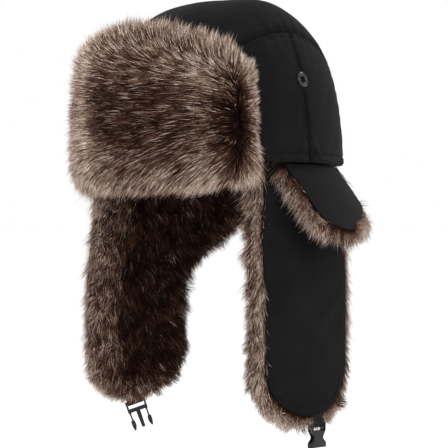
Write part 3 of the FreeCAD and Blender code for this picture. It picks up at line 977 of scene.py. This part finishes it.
def make_front_flap():
    sheet = front_flap_sheet(0)
    point, rim_of = front_flap_sheet(3 * MM)
    blend = ("crown", "front_flap", (0, -0.12, -0.006), (0, -0.12, 0.004))
    sewn_flap("front_flap", sheet, blend, "front_flap", 3 * MM, 0.5 * MM)

    def bed(u, v):
        corner = smooth((u - 0.86) / 0.14) * smooth((v - 0.4) / 0.4)
        high = 15 * MM * (1 - 0.55 * corner)
        return BACKING + high * (0.2 + 0.8 * round_edge(rim_of(u, v), 18 * MM))

    back = BACKING + 0.2 * MM
    roots, normals, plane = fur_bed(
        "front_flap", point, bed, back, 130, 80, "front_flap", 1.85e6
    )
    rim_roots, rim_out, rim_plane = sample_rim(
        sheet[0], 14, (1.0 * MM, 9 * MM), ("first", "last", "start", "end")
    )

    def flow(plane):
        u, v = plane.T
        turn = np.radians((2 * u - 1) * FRONT_TURN)
        right = np.stack([-np.cos(turn), -np.sin(turn), np.zeros_like(turn)], axis=1)
        upper = smooth((v - 0.72) / 0.25)
        side = 1 - 1.35 * smooth((u - 0.935) / 0.02)
        side = side * (1 - upper) + upper * np.clip((0.62 - u) * 3.5, -0.45, 1)
        rise = 0.9 * (v - 0.45) + 1.1 * upper - 1.0 * smooth((0.25 - v) / 0.25)
        rise = rise + 0.25 * ripple(np.stack([u, v, u * 0], axis=1), 0.35, 6)
        return right * side[:, None] - DOWN * rise[:, None]

    def tone(roots, plane):
        u, v = plane.T
        # Painted light: the top and the wearer's right part are painted lighter, as where the key
        # light falls from above on that side, and glint paints a highlight band on the hairs; foot,
        # ridge and the wearer's left end are lighter bands.
        top = smooth((v - 0.55) / 0.4)
        foot = smooth((0.34 - v + 0.25 * smooth((0.6 - u) / 0.25)) / 0.3)
        ridge = np.exp(-(((u - 0.40) / 0.05) ** 2)) * (1 - top)
        edge = smooth((u - 0.945) / 0.03) + 0.8 * smooth((0.46 - u) / 0.16)
        glint = np.exp(-(((u - 0.88) / 0.05) ** 2)) * 0.26
        light = 0.22 + 0.50 * top + 0.44 * foot + 0.46 * ridge + 0.50 * edge + glint
        broad, fine = patches(roots, 30 * MM, 11) - 0.5, patches(roots, 9 * MM, 14) - 0.5
        return np.minimum(light, 0.86) + 0.22 * broad + 0.12 * fine

    count = len(roots)
    at_end = smooth((plane[:, 0] - 0.925) / 0.03) * smooth((plane[:, 1] - 0.12) / 0.2)
    strands(
        "front_flap_fur_hair", roots, normals, flow(plane),
        (27 - 13 * at_end) * MM * uniform(0.7, 1.15, count),
        (0.42 + 0.9 * at_end) * uniform(0.6, 1.5, count),
        0.49 * MM, tone(roots, plane), "front_flap", 0.32, gather=0.3, loose=0.11,
    )
    count = len(rim_roots)
    at_end = smooth((rim_plane[:, 0] - 0.9) / 0.1) * smooth((rim_plane[:, 1] - 0.12) / 0.2)
    strands(
        "front_flap_fur_edge", rim_roots, rim_out, flow(rim_plane),
        (18 - 10 * at_end) * MM * uniform(0.6, 1.2, count), 1.1 * uniform(0.6, 1.4, count),
        0.45 * MM, tone(rim_roots, rim_plane) + 0.1, "front_flap", 0.32,
        gather=0.4, loose=0.22,
    )

def make_ear_flap(side):
    body = f"{side}_ear_flap"
    sign = SIDES[side]
    blend = ("crown", body, (sign * 0.1, 0, 0), (sign * 0.1, 0, -0.045))
    sewn_flap(body, ear_flap_sheet(side), blend, blend, 3 * MM, 0.5 * MM)
    point, rim_of = ear_flap_sheet(side, *EAR_FUR_HANG[side])

    def bed(u, v):
        return BACKING + 12 * MM * (0.2 + 0.8 * round_edge(rim_of(u, v), 14 * MM))

    back = BACKING - 0.4 * MM
    roots, normals, plane = fur_bed(body, point, bed, back, 70, 110, blend, 1.32e6)
    rim_roots, rim_out, rim_plane = sample_rim(point, 15, (1.5 * MM, 11 * MM))

    def tone(roots, plane):
        u, v = plane.T
        # Painted shade: the flap's middle is left dark as shade inside the hat; its front, rear and
        # lower edges are lighter.
        front = smooth((0.40 - u) / 0.38)
        rear = 0.6 * smooth((u - 0.84) / 0.16)
        edge = np.maximum(np.maximum(front, rear), smooth((v - 0.66) / 0.28))
        return 0.08 + 0.50 * edge + 0.3 * (patches(roots, 28 * MM, 12) - 0.5)

    count = len(roots)
    strands(
        f"{body}_fur_hair", roots, normals, radial_flow(point, *plane.T, 0.9),
        24 * MM * uniform(0.65, 1.15, count), 0.75 * uniform(0.6, 1.4, count),
        0.51 * MM, tone(roots, plane), blend, 0.26, gather=0.58, tuft=6.5 * MM, loose=0.26,
    )
    count = len(rim_roots)
    low = smooth((rim_plane[:, 1] - 0.9) / 0.1)
    high = smooth((0.16 - rim_plane[:, 1]) / 0.12) * (rim_plane[:, 0] < 0.5)
    strands(
        f"{body}_fur_edge", rim_roots, rim_out, np.tile(DOWN, (count, 1)),
        (19 - 4 * low + 11 * high) * MM * uniform(0.55, 1.2, count),
        (0.95 + 0.7 * rim_plane[:, 0]) * uniform(0.6, 1.4, count),
        0.45 * MM, 0.97 + 0.2 * (patches(rim_roots, 24 * MM, 15) - 0.5), blend, 0.32,
        gather=0.45, loose=0.26,
    )

def make_skirt(prefix, sign, edges, drop, blend, over, reach):
    """A flaring flap whose fur passes its cloth by over and hangs a further reach."""
    sewn_flap(prefix, skirt_sheet(sign, edges, drop, 0), blend, blend, 0.9 * MM, 0.3 * MM)
    point, rim_of = skirt_sheet(sign, edges, drop, over)

    def bed(u, v):
        wedge = (1.2 + 0.14 * v * drop / MM) * MM
        return 2.6 * MM + wedge * (0.15 + 0.85 * round_edge(rim_of(u, v), 8 * MM))

    roots, normals, plane = fur_bed(prefix, point, bed, 2.2 * MM, 70, 50, blend, 1.8e6)
    rim_roots, rim_out, rim_plane = sample_rim(point, 17, (0.9 * MM, 7 * MM))

    def tone(roots, plane):
        u, v = plane.T
        edge = np.maximum(smooth((np.abs(2 * u - 1) - 0.5) / 0.45), smooth((v - 0.6) / 0.35))
        return 0.24 + 0.34 * edge + 0.3 * (patches(roots, 18 * MM, 13) - 0.5)

    count = len(roots)
    edge = np.maximum(np.abs(2 * plane[:, 0] - 1), plane[:, 1])
    strands(
        f"{prefix}_fur_hair", roots, normals, radial_flow(point, *plane.T, 1.2),
        (9 + 10 * smooth((edge - 0.45) / 0.5)) * MM * uniform(0.7, 1.1, count),
        0.3 * uniform(0.6, 1.4, count), 0.48 * MM, tone(roots, plane), blend, 0.2,
    )
    count = len(rim_roots)
    strands(
        f"{prefix}_fur_edge", rim_roots, rim_out, np.tile(DOWN, (count, 1)),
        reach * uniform(0.5, 1.15, count), 1.6 * uniform(0.6, 1.4, count), 0.45 * MM,
        0.72 + 0.14 * rim_plane[:, 0] + 0.4 * (patches(rim_roots, 14 * MM, 16) - 0.5),
        blend, 0.32, gather=0.45, loose=0.28,
    )

# --- straps and fittings

def strap_places(side):
    """Points and turns of a strap at its flap and at its bar: its width lies along X."""
    y = STRAP_Y[side] - EAR_MIDDLES[1]
    x = SIDES[side] * (EAR_HANG - y**2 / (2 * EAR_BOW) - PLY - 0.1 * MM)
    top = Vector((x, STRAP_Y[side], -GAP - EAR_DROP[side] - STRAP_GAP))
    along = Quaternion((0, 0, 1), math.radians(90))
    facing = Quaternion((0, 0, 1), math.radians(90 - STRAP_TURN[side]))
    turned = facing @ Quaternion((0, 1, 0), math.radians(-STRAP_TILT[side]))
    bar = top + turned @ Vector((0, 0, -STRAP_RUN[side]))
    return (top, along), (bar, turned)

def make_strap(side):
    """Doubled webbing: down one ply, round the bar and up the other."""
    (top, along), (bar, turned) = strap_places(side)
    around = BAR_RADIUS + 0.25 * MM + PLY / 2
    places = []
    for share in np.linspace(0, 1, 26).tolist():
        eased = float(smooth(share))
        tucked = Vector((0, 0, 7 * MM * (1 - share) ** 3))
        apart = PLY / 2 + (around - PLY / 2) * eased
        places.append((top + (bar - top) * share + tucked, along.slerp(turned, eased), apart))
    line = [(centre, spin, Vector((0, apart, 0))) for centre, spin, apart in places]
    for angle in np.linspace(0, math.pi, 19)[1:-1]:
        offset = Vector((0, around * math.cos(angle), -around * math.sin(angle)))
        line.append((bar, turned, offset))
    line += [(centre, spin, Vector((0, -apart, 0))) for centre, spin, apart in reversed(places)]
    middle = np.array([centre + spin @ offset for centre, spin, offset in line])
    wide = np.array([spin @ Vector((1, 0, 0)) for _, spin, _ in line])
    run = np.gradient(middle, axis=0)
    thick = unit(np.cross(wide, run))
    reach = np.linspace(0, 1, len(line))

    def point(u, v, depth):
        centre, across, out = (follow(values, reach, v) for values in (middle, wide, thick))
        width = ((u - 0.5) * WEBBING_WIDTH)[..., None]
        return centre + across * width + out * depth[..., None]

    depths = constant(-PLY / 2), constant(PLY / 2)
    made = pillow(f"{side}_strap_webbing", point, 24, 160, *depths, [WEBBING])
    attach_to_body(made, f"{side}_strap")
    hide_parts(f"{side}_strap")

def dress_node(name, material, bevel=None):
    """Gives a hard piece its finish, and softens its sharp edges with a bevel."""
    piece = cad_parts[name]
    for place in piece.material_slots:
        place.link = "OBJECT"
        place.material = material
    if bevel:
        softened = piece.modifiers.new("edges", "BEVEL")
        softened.width = bevel
        softened.segments = 2
        softened.limit_method = "ANGLE"
        softened.angle_limit = math.radians(35)

def make_fittings():
    for side in SIDES:
        dress_node(f"{side}_eyelet", METAL)
        dress_node(f"{side}_eyelet_washer", METAL)
        make_strap(side)
    for name in ("socket", "plug_frame", "plug_front_arm", "plug_rear_arm"):
        dress_node(f"buckle_{name}", PLASTIC, 0.25 * MM)

# --- studio

def make_studio():
    world = bpy.data.worlds.new("studio")
    world.use_nodes = True
    light = world.node_tree.nodes["Background"].inputs
    light["Color"].default_value = (1, 1, 1, 1)
    light["Strength"].default_value = 1.0
    bpy.context.scene.world = world
    bpy.context.scene.view_settings.view_transform = "Standard"

    floor_mesh = bpy.data.meshes.new("floor")
    editor = bmesh.new()
    bmesh.ops.create_circle(editor, cap_ends=True, segments=96, radius=60)
    editor.to_mesh(floor_mesh)
    editor.free()
    floor = placed("floor", floor_mesh)
    floor.location.z = CAD_BOUNDS[0][2] - 0.06
    pale, tree, shader = principled("floor", 0.9, Specular_IOR_Level=0.1, Emission_Strength=0.1)
    shader.inputs["Emission Color"].default_value = (1, 1, 1, 1)
    grain = node(tree, "ShaderNodeTexNoise", Scale=3.0, Detail=4.0).outputs["Fac"]
    tint(tree, shader, grain, (0.3, (0.93, 0.93, 0.93)), (0.7, (0.95, 0.95, 0.95)))
    floor_mesh.materials.append(pale)

    for name, place, size, power in (
        ("key", (-0.5, -1.7, 1.2), 0.8, 22),
        ("fill", (1.7, -0.9, 0.5), 1.0, 8),
        ("rim", (0.4, 1.6, 1.4), 0.8, 10),
    ):
        lamp = bpy.data.lights.new(name, "AREA")
        lamp.size, lamp.energy = size, power
        made = placed(name, lamp)
        made.location = place
        made.rotation_mode = "QUATERNION"
        made.rotation_quaternion = (-Vector(place)).to_track_quat("-Z", "Y")

def make_camera():
    """Level with the middle of the hat, 42 degrees round from its front."""
    azimuth, distance, aim = math.radians(42), 1.65, Vector((0, 0, -0.053))
    lens = bpy.data.cameras.new("camera")
    lens.sensor_width = 36
    lens.lens = 147
    camera = placed("camera", lens)
    back = Vector((math.sin(azimuth), -math.cos(azimuth), 0))
    camera.location = aim + back * distance
    camera.rotation_mode = "QUATERNION"
    camera.rotation_quaternion = (-back).to_track_quat("-Z", "Y")
    bpy.context.scene.camera = camera

def main():
    make_studio()
    make_camera()
    make_crown()
    make_crown_inside()
    make_front_flap()
    for side, sign in SIDES.items():
        body = f"{side}_ear_flap"
        make_ear_flap(side)
        blend = ("crown", body, (sign * 0.1, 0, 0), (sign * 0.1, 0, -0.025))
        make_skirt(f"{side}_rear_tab", sign, tab_edges, TAB_DROP, blend, 0.0, 25 * MM)
    blend = ("crown", "neck_flap", (0, 0.11, 0), (0, 0.11, -0.025))
    make_skirt("neck_flap", 1, neck_edges, NECK_DROP, blend, 6 * MM, 20 * MM)
    make_fittings()
    bpy.context.view_layer.update()

main()
